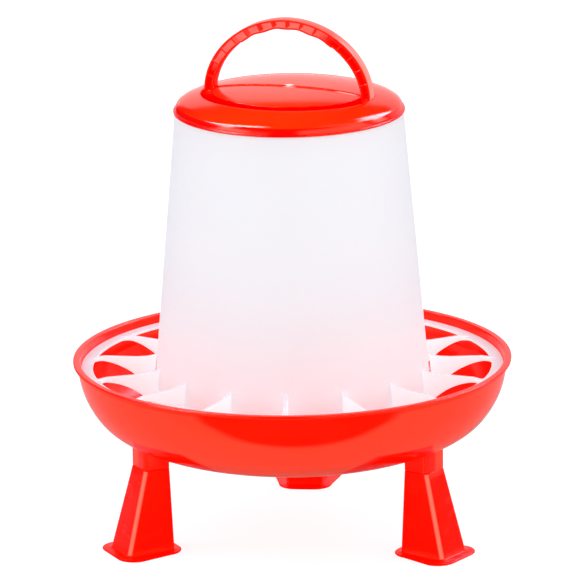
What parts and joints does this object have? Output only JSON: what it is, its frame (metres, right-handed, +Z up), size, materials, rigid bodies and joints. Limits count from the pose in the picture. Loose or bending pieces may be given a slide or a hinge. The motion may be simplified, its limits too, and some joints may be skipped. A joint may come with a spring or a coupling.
{
  "type": "poultry feeder",
  "caption": "Poultry feeder on plug-in legs: round dish with a divider grid, milky cone-sided hopper, domed lid and fold-down carry handle.",
  "frame": {"origin": "centre of the footprint on the ground, under the dish's axis", "axes": "+Z up along the hopper's axis, +Y towards the back leg, so the picture looks roughly along +Y"},
  "size_m": [0.35, 0.35, 0.419],
  "materials": {
    "red_plastic": "glossy moulded polypropylene",
    "milky_plastic": "translucent milky polypropylene, satin gloss",
    "white_plastic": "white moulded polypropylene, satin gloss"
  },
  "bodies": {
    "dish": {"dish": "red_plastic"},
    "leg_back": {"leg_back": "red_plastic"},
    "leg_left": {"leg_left": "red_plastic"},
    "leg_right": {"leg_right": "red_plastic"},
    "hopper": {"hopper": "milky_plastic"},
    "divider_grid": {"divider_grid": "white_plastic"},
    "lid": {"lid": "red_plastic"},
    "carry_handle": {"carry_handle": "red_plastic"}
  },
  "joints": [
    {"name": "hopper_turn", "type": "hinge", "parent": "dish", "child": "hopper", "pos_m": [0, 0, 0.0933], "axis": [0, 0, 1], "range_deg": [0, 24]},
    {"name": "lid_lift", "type": "slide", "parent": "hopper", "child": "lid", "axis": [0, 0, 1], "range_m": [0, 0.08]},
    {"name": "handle_fold", "type": "hinge", "parent": "lid", "child": "carry_handle", "pos_m": [0, 0, 0.3543], "axis": [0.972, -0.2351, 0], "range_deg": [0, 90]},
    {"name": "grid_lift", "type": "slide", "parent": "dish", "child": "divider_grid", "axis": [0, 0, 1], "range_m": [0, 0.25]},
    {"name": "leg_back_pull", "type": "slide", "parent": "dish", "child": "leg_back", "axis": [0, 0, -1], "range_m": [0, 0.03]},
    {"name": "leg_left_pull", "type": "slide", "parent": "dish", "child": "leg_left", "axis": [0, 0, -1], "range_m": [0, 0.03]},
    {"name": "leg_right_pull", "type": "slide", "parent": "dish", "child": "leg_right", "axis": [0, 0, -1], "range_m": [0, 0.03]}
  ]
}
